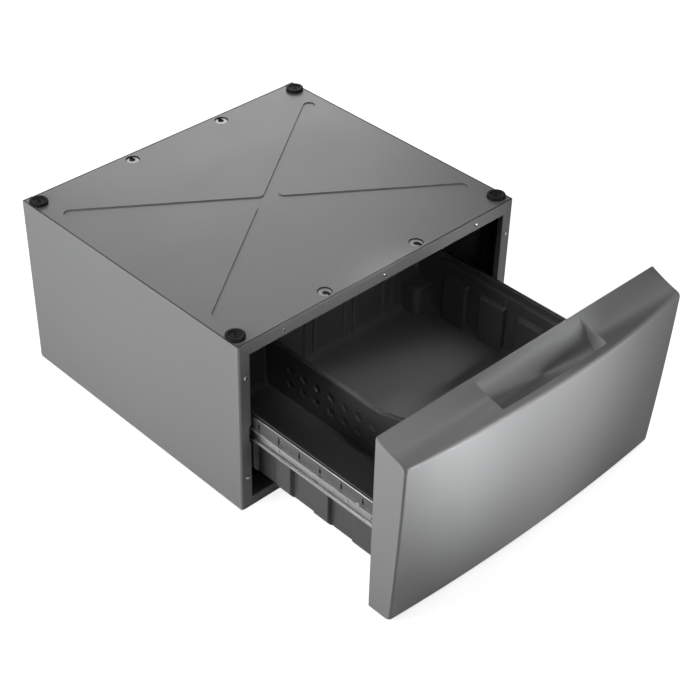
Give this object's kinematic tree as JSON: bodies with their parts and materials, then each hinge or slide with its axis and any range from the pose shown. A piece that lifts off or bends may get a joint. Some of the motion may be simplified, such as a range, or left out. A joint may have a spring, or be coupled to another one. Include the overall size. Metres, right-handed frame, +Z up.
{
  "type": "washer pedestal drawer",
  "caption": "Washer pedestal: sheet steel cabinet with a crossed deck and a divided storage drawer on ball slides behind a bowed front with a scooped handle pocket.",
  "frame": {"origin": "middle of the footprint of the whole object as shown, with the drawer partly open, on the floor under the feet", "axes": "+Z up, -Y towards the drawer's front, +X to the right seen from the front"},
  "size_m": [0.686, 1.0362, 0.384],
  "materials": {
    "cabinet_paint": "satin grey metallic paint",
    "brace_steel": "dark paint inside the cabinet",
    "zinc_plate": "bright zinc plate",
    "foot_rubber": "moulded black rubber round a steel stud",
    "pad_rubber": "moulded black rubber",
    "slide_steel": "zinc plated rolled steel",
    "rail_steel": "plain coated sheet steel, duller than the slides",
    "cage_steel": "plain strip steel",
    "ball_chrome": "polished balls",
    "tub_plastic": "fine grained dark moulding",
    "panel_paint": "satin grey metallic paint",
    "panel_back_paint": "satin grey paint"
  },
  "bodies": {
    "cabinet": {"side_panel_left": "cabinet_paint", "side_panel_right": "cabinet_paint", "deck": "cabinet_paint", "header": "cabinet_paint", "back_panel": "cabinet_paint", "base_rail_front": "cabinet_paint", "base_rail_back": "cabinet_paint", "deck_brace_front": "brace_steel", "deck_brace_back": "brace_steel", "frame_stiffener_left": "brace_steel", "frame_stiffener_right": "brace_steel", "slide_post_front_left": "brace_steel", "slide_post_front_right": "brace_steel", "slide_post_back_left": "brace_steel", "slide_post_back_right": "brace_steel", "foot_brackets": "brace_steel", "foot_lock_nuts": "zinc_plate", "deck_pads": "pad_rubber", "anchor_cups": "brace_steel", "anchor_bolts": "brace_steel", "anchor_clips": "zinc_plate", "anchor_nuts": "zinc_plate", "frame_screws": "zinc_plate", "back_screws": "zinc_plate", "slide_screws": "zinc_plate", "slide_outer_left": "slide_steel", "slide_outer_right": "slide_steel"},
    "drawer": {"slide_inner_left": "slide_steel", "slide_inner_right": "slide_steel", "slide_rivets": "zinc_plate", "drawer_rail_left": "rail_steel", "drawer_rail_right": "rail_steel", "rail_screws": "zinc_plate", "tub": "tub_plastic", "tub_screws": "zinc_plate", "divider": "tub_plastic", "front_panel": "panel_paint", "panel_back": "panel_back_paint", "panel_screws": "zinc_plate", "panel_bumpers": "pad_rubber"},
    "foot_front_left": {"foot_front_left": "foot_rubber"},
    "foot_front_right": {"foot_front_right": "foot_rubber"},
    "foot_back_left": {"foot_back_left": "foot_rubber"},
    "foot_back_right": {"foot_back_right": "foot_rubber"},
    "cage_left": {"ball_cage_left": "cage_steel", "balls_left": "ball_chrome"},
    "cage_right": {"ball_cage_right": "cage_steel", "balls_right": "ball_chrome"}
  },
  "joints": [
    {"name": "drawer_slide", "type": "slide", "parent": "cabinet", "child": "drawer", "axis": [0, -1, 0], "range_m": [-0.321, 0.054]},
    {"name": "cage_roll_left", "type": "slide", "parent": "cabinet", "child": "cage_left", "axis": [0, -1, 0], "range_m": [-0.1605, 0.027]},
    {"name": "cage_roll_right", "type": "slide", "parent": "cabinet", "child": "cage_right", "axis": [0, -1, 0], "range_m": [-0.1605, 0.027]},
    {"name": "front_left_foot_screw", "type": "slide", "parent": "cabinet", "child": "foot_front_left", "axis": [0, 0, -1], "range_m": [0, 0.02]},
    {"name": "front_right_foot_screw", "type": "slide", "parent": "cabinet", "child": "foot_front_right", "axis": [0, 0, -1], "range_m": [0, 0.02]},
    {"name": "back_left_foot_screw", "type": "slide", "parent": "cabinet", "child": "foot_back_left", "axis": [0, 0, -1], "range_m": [0, 0.02]},
    {"name": "back_right_foot_screw", "type": "slide", "parent": "cabinet", "child": "foot_back_right", "axis": [0, 0, -1], "range_m": [0, 0.02]}
  ],
  "couplings": [
    {"joint": "cage_roll_left", "follows": "drawer_slide", "ratio": 0.5},
    {"joint": "cage_roll_right", "follows": "drawer_slide", "ratio": 0.5}
  ]
}
